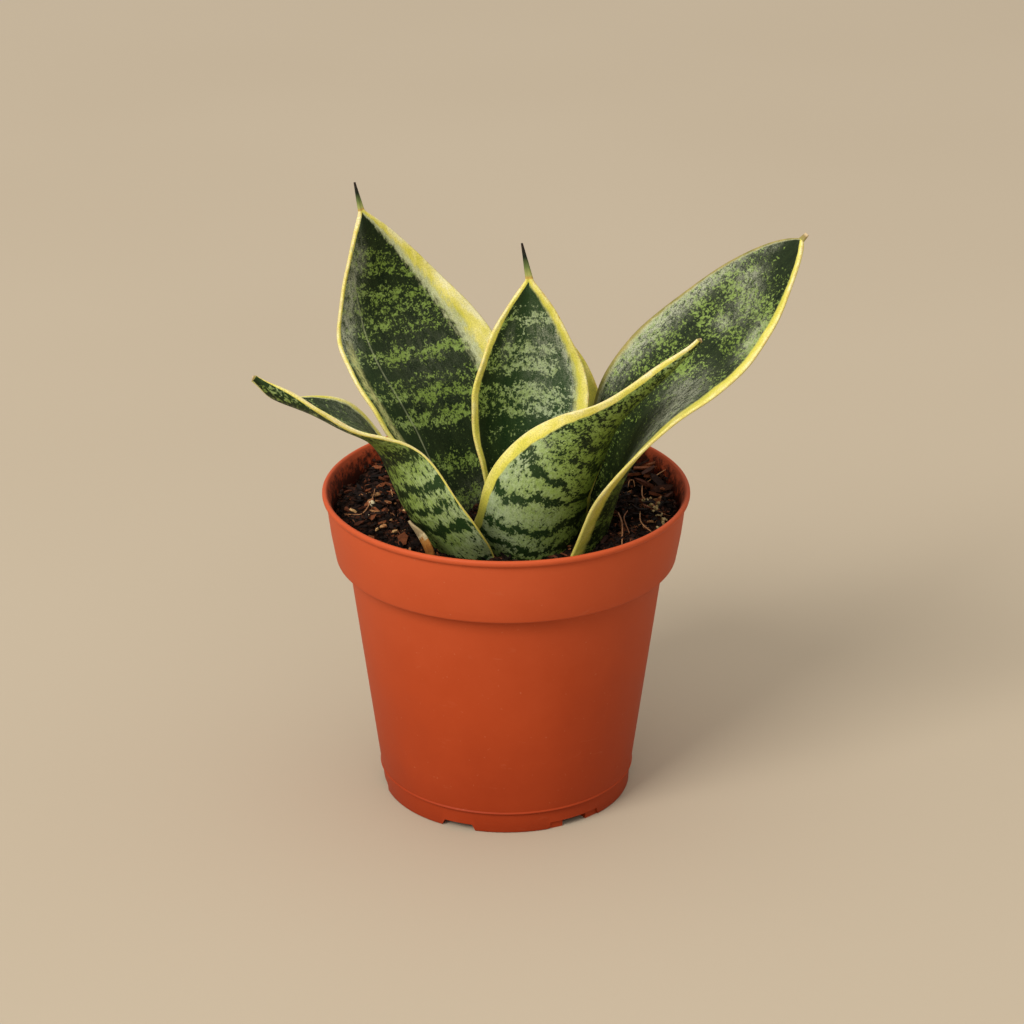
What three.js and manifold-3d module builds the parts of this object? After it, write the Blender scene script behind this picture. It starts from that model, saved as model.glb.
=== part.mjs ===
// A potted snake plant: a dwarf plant with six variegated leaves in a round plastic nursery pot.
// Units are millimetres and +Z is up. The origin lies on the pot's axis, on the surface it stands on.
// The front of the plant, where two leaves lean out over the rim, faces -Y.

import * as THREE from 'three';
import { mergeVertices } from 'three/addons/utils/BufferGeometryUtils.js';
import Module from 'manifold-3d';

const wasm = await Module();
wasm.setup();

// ---- Driving dimensions ----

const GAP = 0.3; // left between pieces that touch
const SEED = 20;

// Pot: lathe outlines of [radius, height] points up the outside, from the foot to the rim. The collar
// stands out from the body on a flat ledge.
const POT_SIDES = 48;
const POT_WALL = 1.2;
const POT_BODY = [
  [35.8, 0], [36.1, 0.4], // foot
  [36.3, 6.4], [36.8, 6.9], // fine step round the foot
  [45.4, 72.2], // plain tapering wall
];
const POT_COLLAR = [[48.3, 72.2], [48.8, 72.7], [50.1, 80], [51.4, 90.4]];
const RIM_CENTRE = [51.7, 91.6];
const RIM_BEAD = 0.8;
const FLOOR_CORNER = [[34, 1.2], [34.9, 2.4]]; // inside, where the floor turns up into the wall

// Drain notches through the foot, in three pairs: a plain one, and a narrow one in the middle of a wide
// recess in the wall. Angles are in degrees from the front.
const NOTCH_SPACING = 120;
const NOTCH_REACH = { inner: 28, outer: 38 };
const PLAIN_NOTCH = { angle: -22.5, width: 11.5, topWidth: 8.5, height: 2 };
const NARROW_NOTCH = { angle: 33.5, width: 8, topWidth: 8, height: 2.2 };
const RECESS = { angle: 33.5, width: 18, topWidth: 16, height: 2.2, floorRadius: 35.5 };

// Soil: its surface rises a little behind the plant and dips in front of it.
const SOIL_LEVEL = 86;
const SOIL_RINGS = [45, 39, 33, 27, 21, 15, 8];
const SOIL_DIP = { x: 5, y: -31, depth: 6.5, reachX: 28, reachY: 14 };
const SOIL_LUMPS = { waves: 9, height: 0.45, shortest: 11, longest: 30 };

// Rhizome: the crown that the leaves grow from, the thick stem below it, and its roots.
const CROWN = { x: 5, y: -9 };
const CROWN_OUTLINE = [[5, 52], [10, 56], [15, 61], [18.5, 64.3], [18, 65.7]];
const CROWN_SIDES = 16;
const STEM_ROUTE = [[5, -9, 60], [6, -6, 48], [11, 2, 38], [22, 11, 36]];
const STEM = { radius: 6, sides: 10, steps: 8 };
const ROOTS = { count: 7, radius: 1.2, sides: 5, steps: 5, start: 7, reach: 27, low: 8, high: 32 };

// Leaves. A leaf's midrib passes through its spine points, from its base in the soil to the end of its
// blade. facing is the direction, in degrees from +X, that the inner face looks at the base. twist and
// cup, in degrees, are spread evenly from base to tip: how far the blade has turned about its midrib,
// and half the angle of the arc that it bends to across its width. The width grows from root, as a
// share of the full width, to its fullest at peak along the leaf, and then falls off: a larger sharp
// keeps it full for longer, and a larger taper draws the tip out.
const LEAVES = {
  leaf_back_left: {
    spine: [[-4, -2, 66], [-9, 3, 90], [-21, 12, 114], [-34, 22, 138], [-41, 24, 167]],
    facing: -56, twist: [0, 0, -3, 2, -10], cup: [65, 50, 38, 28, 26],
    width: 51, root: 0.34, peak: 0.54, sharp: 1.65, taper: 0.85, spur: [-1.8, 1.8, 7.8],
  },
  leaf_centre: {
    spine: [[3.5, -8, 66], [6, -6, 87], [6.5, -3, 108], [6.5, 1, 131], [6.5, 3, 154]],
    facing: -90, twist: [0, 0, 3, -4, 0], cup: [70, 60, 50, 38, 34],
    width: 36, root: 0.33, peak: 0.63, sharp: 1.45, taper: 0.85, spur: [-2.1, 1.8, 9.9],
  },
  leaf_back: {
    spine: [[8, 3, 66], [11, 11, 83], [13, 18, 100], [13, 25, 117], [10, 29, 135]],
    facing: -100, twist: [0, 0, 0], cup: [60, 45, 30],
    width: 33, root: 0.3, peak: 0.58, sharp: 1.6, taper: 1, spur: [-0.5, 1, 4],
  },
  leaf_right: {
    spine: [[18, -13, 66], [26, -14, 80], [38, -12, 118], [61, -4, 141], [82, 4, 165]],
    facing: 180, twist: [12, 2, -20, -30, -28], cup: [67, 52, 27, 22, 30],
    width: 45, root: 0.54, peak: 0.57, sharp: 1.75, taper: 0.65, spur: [1.6, 0.4, 1.7],
  },
  leaf_front: {
    spine: [[4, -16, 66], [8, -25, 85], [12, -30, 104], [30, -29, 124.5], [52.5, -27, 146.8]],
    facing: 103, twist: [15, 2, 0, -45, -20], cup: [55, 60, 52, 50, 48],
    width: 39, root: 0.57, peak: 0.13, sharp: 2, taper: 1.2, spur: [0.6, 0.2, 0.2],
  },
  leaf_front_left: {
    spine: [[-5, -18.5, 66], [-22.5, -28, 93.5], [-36.5, -24, 116], [-59.5, -33, 132], [-68.1, -34.5, 138.8]],
    facing: 38, twist: [0, -2, 3, 32, -50], cup: [60, 42, 40, 34, 28],
    width: 33, root: 0.36, peak: 0.32, sharp: 1.6, taper: 1, spur: [-0.5, 0, 0.1],
  },
};
const BLADE = {
  stations: 26, spurStations: 4, across: 8,
  middle: 2.2, margin: 0.9, tipHalfWidth: 1.1, foot: 5,
};

// Dry scale: the withered first leaf of the shoot, a short papery blade at the foot of the front-left leaf.
const SCALE = {
  spine: [[-20.8, -33.6, 80], [-21.4, -33.8, 86.2], [-23.4, -33, 90.9], [-26.5, -31.5, 95]],
  facing: 35, twist: [0, 0, 5], cup: [45, 40, 30],
  width: 5.2, root: 0.45, peak: 0.7, sharp: 1.5, taper: 1, spur: [-0.3, 0.2, 0.5],
};
const SCALE_BLADE = {
  stations: 10, spurStations: 1, across: 6,
  middle: 0.8, margin: 0.6, tipHalfWidth: 0.6, foot: 0,
};

const FINISH = {
  pot: { color: 0xc4552f, roughness: 0.55, metalness: 0 },
  soil: { color: 0x3b241a, roughness: 0.95, metalness: 0 },
  rhizome: { color: 0xc98a52, roughness: 0.8, metalness: 0 },
  leaf: { color: 0x4f6b38, roughness: 0.45, metalness: 0 },
  scale: { color: 0xb89a72, roughness: 0.85, metalness: 0 },
};

// ---- Helpers ----

// A closed geometry as a solid that can be cut and joined.
function solidOf(geometry) {
  const bare = geometry.clone();
  bare.deleteAttribute('normal');
  bare.deleteAttribute('uv');
  const merged = mergeVertices(bare, 1e-3);
  const corners = merged.index.array;
  const kept = [];
  for (let i = 0; i < corners.length; i += 3) {
    const [a, b, c] = corners.slice(i, i + 3);
    if (a !== b && b !== c && c !== a) kept.push(a, b, c);
  }
  return new wasm.Manifold(new wasm.Mesh({
    numProp: 3,
    vertProperties: merged.attributes.position.array,
    triVerts: new Uint32Array(kept),
  }));
}

function geometryOf(solid) {
  const { vertProperties, triVerts } = solid.getMesh();
  const geometry = new THREE.BufferGeometry();
  geometry.setAttribute('position', new THREE.BufferAttribute(vertProperties, 3));
  geometry.setIndex(new THREE.BufferAttribute(triVerts, 1));
  geometry.computeVertexNormals();
  return geometry;
}

// The largest of the separate bodies that a cut leaves.
function mainBody(solid) {
  const bodies = solid.decompose();
  return bodies.reduce((best, body) => (body.volume() > best.volume() ? body : best));
}

// A repeatable stream of numbers from 0 to 1.
function randomFrom(seed) {
  let state = seed;
  return () => {
    state = (state * 1664525 + 1013904223) % 4294967296;
    return state / 4294967296;
  };
}

// A smooth value at t, from 0 to 1, on the curve through evenly spaced values.
function smoothAt(values, t) {
  const last = values.length - 1;
  const at = THREE.MathUtils.clamp(t, 0, 1) * last;
  const i = Math.min(Math.floor(at), last - 1);
  const f = at - i;
  const p1 = values[i];
  const p2 = values[i + 1];
  const p0 = i > 0 ? values[i - 1] : 2 * p1 - p2;
  const p3 = i < last - 1 ? values[i + 2] : 2 * p2 - p1;
  const slope = p2 - p0;
  const bend = 2 * p0 - 5 * p1 + 4 * p2 - p3;
  const twirl = 3 * p1 - p0 - 3 * p2 + p3;
  return p1 + 0.5 * f * (slope + f * (bend + f * twirl));
}

// The radius at a height on an outline of [radius, height] points.
function radiusAt(outline, height) {
  const i = Math.max(1, outline.findIndex(([, h]) => h >= height));
  const [r0, h0] = outline[i - 1];
  const [r1, h1] = outline[i];
  return r0 + ((height - h0) / (h1 - h0)) * (r1 - r0);
}

// A body turned about the Z axis from [radius, height] points.
function turned(outline, sides) {
  const points = outline.map(([r, h]) => new THREE.Vector2(r, h));
  return new THREE.LatheGeometry(points, sides).rotateX(Math.PI / 2);
}

// The smooth curve through points.
function curveThrough(points) {
  const places = points.map((point) => new THREE.Vector3(...point));
  return new THREE.CatmullRomCurve3(places, false, 'catmullrom');
}

// A solid round tube along the smooth curve through points.
function tube(points, radius, sides, steps) {
  const curve = curveThrough(points);
  const section = new THREE.Shape();
  for (let i = 0; i <= sides; i += 1) {
    const angle = (2 * Math.PI * i) / sides;
    const corner = [radius * Math.cos(angle), radius * Math.sin(angle)];
    if (i === 0) section.moveTo(...corner);
    else section.lineTo(...corner);
  }
  return new THREE.ExtrudeGeometry(section, { steps, extrudePath: curve });
}

// ---- Pot ----

// The round lip, as points from its outer side over the top to its inner side.
function rimPoints() {
  const points = [];
  for (let degrees = -40; degrees <= 180; degrees += 55) {
    const angle = THREE.MathUtils.degToRad(degrees);
    points.push([RIM_CENTRE[0] + RIM_BEAD * Math.cos(angle), RIM_CENTRE[1] + RIM_BEAD * Math.sin(angle)]);
  }
  return points;
}

// The outline up the inside of the wall, one wall thickness in from the outside and up from the ledge.
function insideOfWall() {
  const ledge = POT_COLLAR[0][1];
  const upper = [...POT_BODY, ...POT_COLLAR].filter(([, h]) => h > FLOOR_CORNER[1][1]);
  return upper.map(([r, h]) => [r - POT_WALL, Math.abs(h - ledge) < POT_WALL ? h + POT_WALL : h]);
}

// A block that reaches through the corner of wall and floor at a drain notch, wider at its foot.
function notchBlock(notch, turn) {
  const below = 1;
  const shape = new THREE.Shape();
  shape.moveTo(-notch.width / 2, -below);
  shape.lineTo(notch.width / 2, -below);
  shape.lineTo(notch.topWidth / 2, notch.height);
  shape.lineTo(-notch.topWidth / 2, notch.height);
  const depth = NOTCH_REACH.outer - NOTCH_REACH.inner;
  const block = new THREE.ExtrudeGeometry(shape, { depth, bevelEnabled: false });
  block.translate(0, 0, NOTCH_REACH.inner).rotateX(Math.PI / 2);
  return solidOf(block.rotateZ(THREE.MathUtils.degToRad(notch.angle + turn)));
}

// The pot with its drain notches and recesses cut.
function notched(pot) {
  const core = [[0, -2], [RECESS.floorRadius, -2], [RECESS.floorRadius, 5], [0, 5]];
  const behindRecess = solidOf(turned(core, POT_SIDES));
  let cut = pot;
  for (let turn = 0; turn < 360; turn += NOTCH_SPACING) {
    cut = cut.subtract(notchBlock(PLAIN_NOTCH, turn)).subtract(notchBlock(NARROW_NOTCH, turn));
    cut = cut.subtract(notchBlock(RECESS, turn).subtract(behindRecess));
  }
  return cut;
}

function potGeometry() {
  const inside = [...FLOOR_CORNER, ...insideOfWall()].reverse();
  const outline = [[0, 0], ...POT_BODY, ...POT_COLLAR, ...rimPoints(), ...inside, [0, POT_WALL]];
  return geometryOf(notched(solidOf(turned(outline, POT_SIDES))));
}

// ---- Leaves ----

// Half the blade's width at s, from 0 at the base to 1 at the end of the blade.
function halfWidthAt(leaf, s, blade) {
  const rise = Math.sin((Math.PI / 2) * Math.min(s / leaf.peak, 1)) ** 1.3;
  const fall = Math.max(0, (s - leaf.peak) / (1 - leaf.peak));
  const share = s < leaf.peak ? leaf.root + (1 - leaf.root) * rise : (1 - fall ** leaf.sharp) ** leaf.taper;
  return Math.hypot((leaf.width / 2) * share, blade.tipHalfWidth);
}

// The stations of a leaf: centre, direction, width and bend, from its base to the end of its spur.
function leafStations(leaf, blade) {
  const midrib = curveThrough(leaf.spine);
  const tip = midrib.getPointAt(1);
  const spur = new THREE.Vector3(...leaf.spur);
  const narrowing = spur.length() > 5 ? 0.75 : 0.35; // a short, withered spur stays blunt
  const stations = [];
  for (let i = 0; i <= blade.stations; i += 1) {
    const s = i / blade.stations;
    stations.push({
      s,
      centre: midrib.getPointAt(s),
      along: midrib.getTangentAt(s),
      halfWidth: halfWidthAt(leaf, s, blade),
      spurShare: 0,
    });
  }
  for (let i = 1; i <= blade.spurStations; i += 1) {
    const share = i / blade.spurStations;
    stations.push({
      s: 1,
      centre: tip.clone().addScaledVector(spur, share),
      along: midrib.getTangentAt(1).lerp(spur.clone().normalize(), share).normalize(),
      halfWidth: blade.tipHalfWidth * (1 - narrowing * share),
      spurShare: share,
    });
  }
  return stations;
}

// Adds to each station the directions across the blade and towards its inner face. They're carried
// along the midrib without turning about it, and then turned by the leaf's twist.
function addDirections(stations, leaf) {
  const facing = THREE.MathUtils.degToRad(leaf.facing);
  const inward = new THREE.Vector3(Math.cos(facing), Math.sin(facing), 0);
  const side = new THREE.Vector3().crossVectors(stations[0].along, inward);
  for (const station of stations) {
    side.addScaledVector(station.along, -side.dot(station.along)).normalize();
    const inner = new THREE.Vector3().crossVectors(side, station.along);
    const twist = THREE.MathUtils.degToRad(smoothAt(leaf.twist, station.s));
    station.across = side.clone().multiplyScalar(Math.cos(twist)).addScaledVector(inner, Math.sin(twist));
    station.inner = inner.multiplyScalar(Math.cos(twist)).addScaledVector(side, -Math.sin(twist));
  }
}

// The points of one station, on the inner face and then on the outer face, from one margin to the other.
function stationPoints(station, leaf, blade, grow) {
  const cup = THREE.MathUtils.degToRad(smoothAt(leaf.cup, station.s) * (1 - 0.7 * station.spurShare));
  const halfWidth = station.halfWidth + grow;
  const bend = halfWidth / cup;
  const middle = Math.min(blade.middle, 0.5 + 0.45 * station.halfWidth);
  const margin = Math.min(blade.margin, middle);
  const points = [];
  for (const face of [1, -1]) {
    for (let j = 0; j <= blade.across; j += 1) {
      const v = (2 * j) / blade.across - 1;
      const angle = v * cup;
      const halfThickness = (margin + (middle - margin) * (1 - v * v)) / 2 + grow;
      const height = bend * (1 - Math.cos(angle)) + face * halfThickness * Math.cos(angle);
      const offset = bend * Math.sin(angle) - face * halfThickness * Math.sin(angle);
      const point = station.centre.clone().addScaledVector(station.inner, height);
      points.push(point.addScaledVector(station.across, offset));
    }
  }
  return points;
}

// A leaf as one closed blade: its inner face, its outer face split in the same triangles, its two
// margins and its two ends. With grow it's thicker and wider all round, to cut the hole that it stands in.
function leafGeometry(leaf, blade, grow = 0) {
  const stations = leafStations(leaf, blade);
  addDirections(stations, leaf);
  stations[0].centre.addScaledVector(stations[0].along, -blade.foot - grow);
  const points = stations.flatMap((station) => stationPoints(station, leaf, blade, grow));
  const row = blade.across + 1;
  const inner = (i, j) => 2 * row * i + j;
  const outer = (i, j) => 2 * row * i + row + j;
  const last = stations.length - 1;
  const corners = [];
  for (let i = 0; i < last; i += 1) {
    for (let j = 0; j < blade.across; j += 1) {
      corners.push(inner(i, j), inner(i, j + 1), inner(i + 1, j + 1));
      corners.push(inner(i, j), inner(i + 1, j + 1), inner(i + 1, j));
      corners.push(outer(i, j), outer(i + 1, j + 1), outer(i, j + 1));
      corners.push(outer(i, j), outer(i + 1, j), outer(i + 1, j + 1));
    }
    corners.push(inner(i, 0), inner(i + 1, 0), outer(i + 1, 0));
    corners.push(inner(i, 0), outer(i + 1, 0), outer(i, 0));
    corners.push(inner(i + 1, row - 1), inner(i, row - 1), outer(i, row - 1));
    corners.push(inner(i + 1, row - 1), outer(i, row - 1), outer(i + 1, row - 1));
  }
  for (let j = 0; j < blade.across; j += 1) {
    corners.push(inner(0, j + 1), inner(0, j), outer(0, j));
    corners.push(inner(0, j + 1), outer(0, j), outer(0, j + 1));
    corners.push(inner(last, j), inner(last, j + 1), outer(last, j + 1));
    corners.push(inner(last, j), outer(last, j + 1), outer(last, j));
  }
  const geometry = new THREE.BufferGeometry().setFromPoints(points);
  geometry.setIndex(corners);
  geometry.computeVertexNormals();
  return geometry;
}

// A leaf that stands on the crown, trimmed level where it meets it.
function leafSolid(leaf, grow = 0) {
  const crownTop = CROWN_OUTLINE.at(-1)[1];
  const depth = 2 * BLADE.foot;
  const below = new THREE.BoxGeometry(100, 100, depth).translate(0, 0, crownTop + GAP - grow - depth / 2);
  return solidOf(leafGeometry(leaf, BLADE, grow)).subtract(solidOf(below));
}

// ---- Rhizome ----

// A route of points with its far end drawn out a little further.
function lengthened(route, by) {
  const end = new THREE.Vector3(...route.at(-1));
  const before = new THREE.Vector3(...route.at(-2));
  const direction = end.clone().sub(before).normalize();
  return [...route.slice(0, -1), end.addScaledVector(direction, by).toArray()];
}

// The route of one root: out of the crown's underside, and down to near the pot's wall.
function rootRoute(i, random) {
  const angle = (2 * Math.PI * (i + 0.5 * random())) / ROOTS.count;
  const drop = THREE.MathUtils.lerp(ROOTS.low, ROOTS.high, random());
  const sway = 0.5 * (random() - 0.5);
  const out = (radius, turn, z) => [radius * Math.cos(angle + turn), radius * Math.sin(angle + turn), z];
  const start = [CROWN.x + ROOTS.start * Math.cos(angle), CROWN.y + ROOTS.start * Math.sin(angle), 58];
  return [start, out(0.75 * ROOTS.reach, sway, 0.5 * (58 + drop)), out(ROOTS.reach, -sway, drop)];
}

// The crown, the thick stem and the roots, joined. With grow it's larger all round, the roots twice as
// much, because a lengthened root doesn't bend quite as it did.
function rhizomeSolid(grow = 0) {
  const random = randomFrom(SEED);
  const bottom = CROWN_OUTLINE[0][1] - grow;
  const top = CROWN_OUTLINE.at(-1)[1] + grow;
  const sideOfCrown = CROWN_OUTLINE.map(([r, h]) => [r + grow, THREE.MathUtils.clamp(h, bottom, top)]);
  sideOfCrown[0][1] = bottom;
  sideOfCrown.at(-1)[1] = top;
  const crown = turned([[0, bottom], ...sideOfCrown, [0, top]], CROWN_SIDES).translate(CROWN.x, CROWN.y, 0);
  const stem = tube(lengthened(STEM_ROUTE, grow), STEM.radius + grow, STEM.sides, STEM.steps);
  const stemTip = new THREE.SphereGeometry(STEM.radius + grow, STEM.sides, 6);
  stemTip.translate(...STEM_ROUTE.at(-1));
  let solid = solidOf(crown).add(solidOf(stem)).add(solidOf(stemTip));
  for (let i = 0; i < ROOTS.count; i += 1) {
    const route = lengthened(rootRoute(i, random), grow);
    solid = solid.add(solidOf(tube(route, ROOTS.radius + 2 * grow, ROOTS.sides, ROOTS.steps)));
  }
  return solid;
}

// ---- Soil ----

// How far the surface of the soil stands above its level at a point.
function soilRelief() {
  const random = randomFrom(SEED + 1);
  const waves = [];
  for (let i = 0; i < SOIL_LUMPS.waves; i += 1) {
    const length = THREE.MathUtils.lerp(SOIL_LUMPS.shortest, SOIL_LUMPS.longest, random());
    waves.push({ angle: Math.PI * random(), phase: 2 * Math.PI * random(), rate: (2 * Math.PI) / length });
  }
  return (x, y) => {
    const distance = Math.hypot((x - SOIL_DIP.x) / SOIL_DIP.reachX, (y - SOIL_DIP.y) / SOIL_DIP.reachY);
    let height = -SOIL_DIP.depth * Math.exp(-distance * distance);
    for (const { angle, phase, rate } of waves) {
      height += SOIL_LUMPS.height * Math.cos(rate * (x * Math.cos(angle) + y * Math.sin(angle)) + phase);
    }
    return height;
  };
}

function soilGeometry(standing) {
  const inside = [...FLOOR_CORNER, ...insideOfWall()];
  const side = inside.filter(([, h]) => h < SOIL_LEVEL - 1).map(([r, h]) => [r - GAP, h + GAP]);
  const edge = [radiusAt(inside, SOIL_LEVEL) - GAP, SOIL_LEVEL];
  const top = SOIL_RINGS.map((r) => [r, SOIL_LEVEL]);
  const outline = [[0, side[0][1]], ...side, edge, ...top, [0, SOIL_LEVEL]];
  const geometry = turned(outline, POT_SIDES);
  const relief = soilRelief();
  const place = geometry.attributes.position;
  for (let i = 0; i < place.count; i += 1) {
    const x = place.getX(i);
    const y = place.getY(i);
    const height = SOIL_LEVEL + relief(x, y);
    const inward = Math.min(1, (radiusAt(inside, height) - GAP) / Math.hypot(x, y));
    if (place.getZ(i) > SOIL_LEVEL - 0.01) place.setXYZ(i, inward * x, inward * y, height);
  }
  const holes = standing.reduce((all, solid) => all.add(solid));
  return geometryOf(mainBody(solidOf(geometry).subtract(holes)));
}

// ---- Assembly ----

function addPiece(plant, name, geometry, finish) {
  const mesh = new THREE.Mesh(geometry, new THREE.MeshStandardMaterial(finish));
  mesh.name = name;
  plant.add(mesh);
}

const plant = new THREE.Group();
plant.name = 'potted_snake_plant';
const standing = [rhizomeSolid(GAP), solidOf(leafGeometry(SCALE, SCALE_BLADE, GAP))];
for (const [name, leaf] of Object.entries(LEAVES)) {
  addPiece(plant, name, geometryOf(leafSolid(leaf)), FINISH.leaf);
  standing.push(leafSolid(leaf, GAP));
}
addPiece(plant, 'dry_scale', leafGeometry(SCALE, SCALE_BLADE), FINISH.scale);
addPiece(plant, 'rhizome', geometryOf(rhizomeSolid()), FINISH.rhizome);
addPiece(plant, 'soil', soilGeometry(standing), FINISH.soil);
addPiece(plant, 'pot', potGeometry(), FINISH.pot);

export default plant;
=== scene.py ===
"""The looks of the potted snake plant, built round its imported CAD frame.

Shapes are worked out in millimetres and turned into metres when a mesh is made. +Z is up, the pot's
axis is the Z axis, and the front of the plant faces -Y.
"""
import math
import random
from types import SimpleNamespace

import bpy
import numpy as np
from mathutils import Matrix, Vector, noise


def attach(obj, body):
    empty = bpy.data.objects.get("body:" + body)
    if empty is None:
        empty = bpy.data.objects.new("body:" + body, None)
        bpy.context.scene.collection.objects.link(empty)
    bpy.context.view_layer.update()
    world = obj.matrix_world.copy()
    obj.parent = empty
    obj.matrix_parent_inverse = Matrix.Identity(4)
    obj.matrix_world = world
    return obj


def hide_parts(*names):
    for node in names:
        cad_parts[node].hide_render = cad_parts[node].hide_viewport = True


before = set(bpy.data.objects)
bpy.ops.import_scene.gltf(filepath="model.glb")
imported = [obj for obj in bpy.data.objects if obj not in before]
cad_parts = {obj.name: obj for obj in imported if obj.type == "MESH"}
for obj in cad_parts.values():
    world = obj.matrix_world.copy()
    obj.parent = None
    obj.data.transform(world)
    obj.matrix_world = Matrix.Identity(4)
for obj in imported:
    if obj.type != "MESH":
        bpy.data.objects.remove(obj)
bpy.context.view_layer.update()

MM = 0.001

# ---- Camera: the photograph's viewing angle ----

CAMERA_PITCH = math.radians(23.5)  # how far it looks down
CAMERA_DISTANCE = 976.0
CAMERA_LENS = 120.0
CAMERA_SENSOR = 36.0
CAMERA_AIM = (1.66, 0.0, 84.5)

# ---- Pot: [radius, height] points up the outside, and down the inside ----

POT_FOOT = [[0, 0.0], [30.0, 0.0], [35.3, 0.0], [35.75, 0.05], [35.98, 0.18], [36.08, 0.4]]
POT_STEP = [[36.24, 6.1], [36.45, 6.28], [36.95, 6.4], [37.07, 6.55], [37.02, 6.75], [36.84, 7.0]]
POT_BODY = [[39.0, 23.5], [42.0, 46.3], [44.6, 66.1], [45.32, 71.6], [45.5, 72.0], [45.85, 72.2]]
POT_COLLAR = [
    [48.15, 72.2], [48.5, 72.25], [48.72, 72.45], [48.84, 72.8], [49.4, 76.0], [50.1, 80.0], [50.75, 85.0],
    [51.2, 89.3], [51.2, 90.2],
]
POT_RIM = [
    [51.32, 90.42], [51.7, 90.5], [52.1, 90.7], [52.34, 91.0], [52.44, 91.4], [52.42, 91.8], [52.28, 92.08],
    [52.05, 92.28], [51.75, 92.38], [51.4, 92.32], [51.1, 92.1], [50.92, 91.7],
]
POT_INSIDE = [
    [50.6, 91.1], [50.2, 90.4], [48.9, 80.0], [47.6, 73.9], [47.1, 73.4], [44.2, 73.4], [35.6, 6.9],
    [35.1, 6.4], [34.9, 2.4], [34.0, 1.2], [0, 1.2],
]
POT_SIDES = 288
INNER_COLLAR = [[48.9, 80.0], [50.65, 91.1]]  # the inner side of the collar, up to the lip

# Drain notches through the foot, in three pairs: a plain one, and a narrow one in the middle of a wide
# recess in the wall. Angles are in degrees from the front, and inner is how near the axis a cut reaches.
NOTCH_SPACING = 120
NOTCH_OUTER = 38.0
NOTCHES = [
    dict(angle=-22.5, width=11.5, top_width=8.5, height=2.0, inner=28.0),
    dict(angle=33.5, width=8.0, top_width=8.0, height=2.2, inner=28.0),
    dict(angle=33.5, width=18.0, top_width=16.0, height=2.2, inner=35.5),
]

# ---- Leaves: the same driving values as the solids that they replace ----
# spine runs up the midrib, facing is the way that the inner face looks, in degrees about Z, twist turns it
# from there and cup bends the blade across, both in degrees from base to tip. root is the width of the
# base as a share of the full width, which is reached at peak. sharp and taper shape the narrowing from
# there on, and spur is the way from the end of the blade to the point of its spur.

LEAVES = {
    "leaf_back_left": dict(
        spine=[(-4, -2, 66), (-9, 3, 90), (-21, 12, 114), (-34, 22, 138), (-41, 24, 167)],
        facing=-56, twist=[0, 0, -3, 2, -10], cup=[65, 50, 38, 28, 26],
        width=51, root=0.34, peak=0.54, sharp=1.65, taper=0.85, spur=(-1.8, 1.8, 7.8)),
    "leaf_centre": dict(
        spine=[(3.5, -8, 66), (6, -6, 87), (6.5, -3, 108), (6.5, 1, 131), (6.5, 3, 154)],
        facing=-90, twist=[0, 0, 3, -4, 0], cup=[70, 60, 50, 38, 34],
        width=36, root=0.33, peak=0.63, sharp=1.45, taper=0.85, spur=(-2.1, 1.8, 9.9)),
    "leaf_back": dict(
        spine=[(8, 3, 66), (11, 11, 83), (13, 18, 100), (13, 25, 117), (10, 29, 135)],
        facing=-100, twist=[0, 0, 0], cup=[60, 45, 30],
        width=33, root=0.3, peak=0.58, sharp=1.6, taper=1.0, spur=(-0.5, 1, 4)),
    "leaf_right": dict(
        spine=[(18, -13, 66), (26, -14, 80), (38, -12, 118), (61, -4, 141), (82, 4, 165)],
        facing=180, twist=[12, 2, -20, -30, -28], cup=[67, 52, 27, 22, 30],
        width=45, root=0.54, peak=0.57, sharp=1.75, taper=0.65, spur=(1.6, 0.4, 1.7)),
    "leaf_front": dict(
        spine=[(4, -16, 66), (8, -25, 85), (12, -30, 104), (30, -29, 124.5), (52.5, -27, 146.8)],
        facing=103, twist=[15, 2, 0, -45, -20], cup=[55, 60, 52, 50, 48],
        width=39, root=0.57, peak=0.13, sharp=2.0, taper=1.2, spur=(0.6, 0.2, 0.2)),
    "leaf_front_left": dict(
        spine=[(-5, -18.5, 66), (-22.5, -28, 93.5), (-36.5, -24, 116), (-59.5, -33, 132),
               (-68.1, -34.5, 138.8)],
        facing=38, twist=[0, -2, 3, 32, -50], cup=[60, 42, 40, 34, 28],
        width=33, root=0.36, peak=0.32, sharp=1.6, taper=1.0, spur=(-0.5, 0, 0.1)),
}
# How many steps a blade and its spur have, its thickness at the midrib and the margins, and half the
# width of its tip.
BLADE = SimpleNamespace(stations=180, spur_stations=18, across=56, middle=2.2, margin=0.9, tip=1.1)
LEAF_MARKS = (
    "rim", "edge", "soft", "level", "wash", "haze", "crease", "stripe", "spur", "dry", "dull", "ripe",
)
NO_FOLD = 99.0  # as far from a fold line as on a leaf without one

# Markings. low and high are the widths of the two yellow margins in millimetres, from base to tip: low is
# the side at -1 across the blade, high the side at +1. soft says how far each blends into the green, dull
# how drab the low one is, ripe how deep the yellow is at least, and ripple how high the blade's waves are.
# stripe is a pale stripe by the low margin, as (first run, last run, nearest, furthest), and crease
# a fold line with a painted highlight along it, as (first run, last run, place across at the first, place
# across at the last).
# inner and outer hold the marks of each face. level is how much of it is speckled pale, wash how grey its
# pale parts are at -1, 0 and +1 across, and cells how many specks fit in a millimetre across and along.
# A band is (run at -1, at 0, at +1, half its length, how much paler). A spot, which changes level, a patch
# of painted grey sheen, which stands in for reflection, and a tint, which changes wash, are each (run, place
# across, half its length, half its breadth, how much). A run is a length along the blade from its base, in
# mm.
PLAIN = dict(level=0.41, wash=(0.2, 0.2, 0.2), cells=(2.3, 2.0), bands=[], spots=[], haze=[], tint=[])
USUAL = dict(inner={}, outer={}, stripe=None, crease=None, dull=0.0, ripe=0.0, ripple=0.3)
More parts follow.
